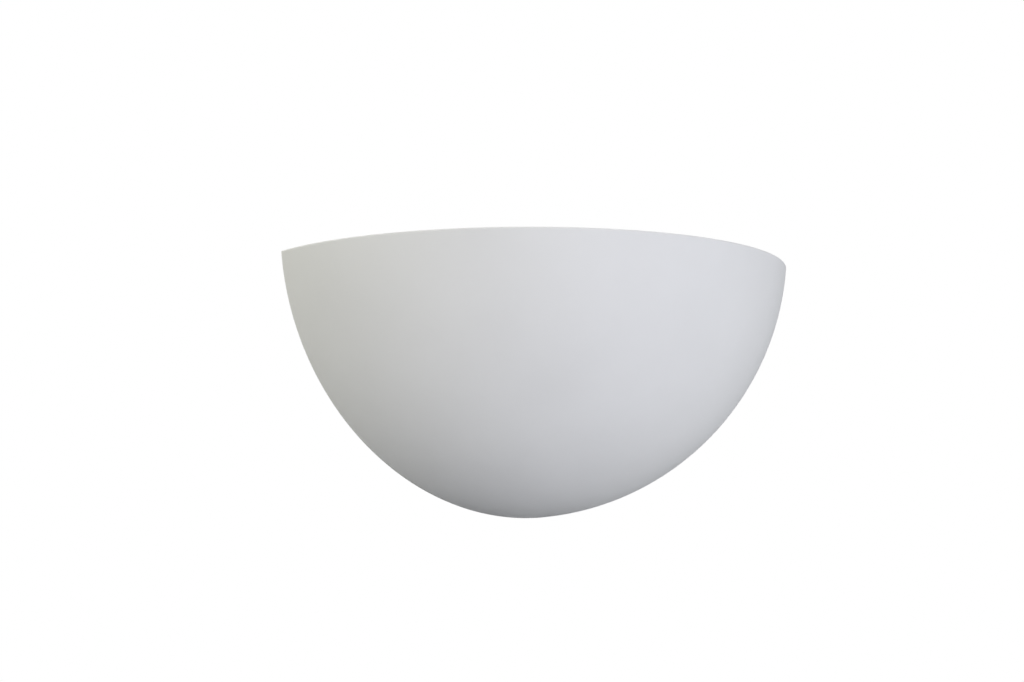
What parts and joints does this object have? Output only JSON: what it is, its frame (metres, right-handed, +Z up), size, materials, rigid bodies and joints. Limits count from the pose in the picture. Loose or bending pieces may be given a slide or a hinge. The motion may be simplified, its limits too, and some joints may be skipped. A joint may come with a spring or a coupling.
{
  "type": "uplighter wall sconce",
  "caption": "Quarter-sphere ceramic bowl open at the top, held by thumb nuts to a wall bracket that carries a lampholder, a screw-in lamp and a terminal block.",
  "frame": {"origin": "midway between the two wall slots, on the wall's face", "axes": "+Z up, +Y into the wall, +X to the right seen from the room"},
  "size_m": [0.3198, 0.1599, 0.1466],
  "materials": {
    "bowl_ceramic": "smooth matt white, painted",
    "bracket_paint": "white powder coat",
    "bush_rubber": "black, matt",
    "zinc_steel": "bright zinc plate",
    "nickel_steel": "satin nickel plate",
    "nylon": "natural nylon",
    "brass": "drawn brass",
    "holder_plastic": "white thermoset, satin",
    "porcelain": "unglazed steatite",
    "opal_plastic": "opal, frosted",
    "lamp_plastic": "white, satin",
    "black_glass": "black, glossy",
    "solder": "dull solder",
    "tinned_copper": "tin plate",
    "wire_brown": "brown, satin",
    "wire_blue": "blue, satin",
    "wire_green": "green and yellow, satin"
  },
  "bodies": {
    "fitting": {"bowl": "bowl_ceramic", "wall_bracket": "bracket_paint", "cable_bush": "bush_rubber", "bowl_studs": "zinc_steel", "cushion_washers": "bush_rubber", "nylon_washers": "nylon", "thumb_nuts": "nickel_steel", "lamp_arm": "bracket_paint", "arm_screws": "zinc_steel", "arm_nuts": "zinc_steel", "nipple": "brass", "nipple_washer": "zinc_steel", "nipple_nut": "brass", "holder_bell": "holder_plastic", "holder_insert": "porcelain", "holder_skirt": "holder_plastic", "screw_shell": "brass", "centre_contact": "brass", "holder_terminals": "brass", "terminal_block": "nylon", "terminal_tubes": "brass", "terminal_screws": "zinc_steel", "block_screws": "zinc_steel", "earth_screw": "brass", "earth_washer": "zinc_steel", "earth_lug": "tinned_copper", "earth_nut": "brass", "live_wire": "wire_brown", "neutral_wire": "wire_blue", "earth_wire": "wire_green"},
    "lamp_core": {"lamp_insulator": "black_glass", "lamp_tip": "solder"},
    "lamp": {"lamp_globe": "opal_plastic", "lamp_housing": "lamp_plastic", "lamp_cap": "nickel_steel"}
  },
  "joints": [
    {"name": "lamp_travel", "type": "slide", "parent": "fitting", "child": "lamp_core", "axis": [1, 0, 0], "range_m": [0, 0.01815]},
    {"name": "lamp_turn", "type": "hinge", "parent": "lamp_core", "child": "lamp", "pos_m": [0, -0.058, 0.002], "axis": [1, 0, 0], "range_deg": [0, 1800]}
  ],
  "couplings": [
    {"joint": "lamp_travel", "follows": "lamp_turn", "m_per_rad": 0.00057757}
  ]
}
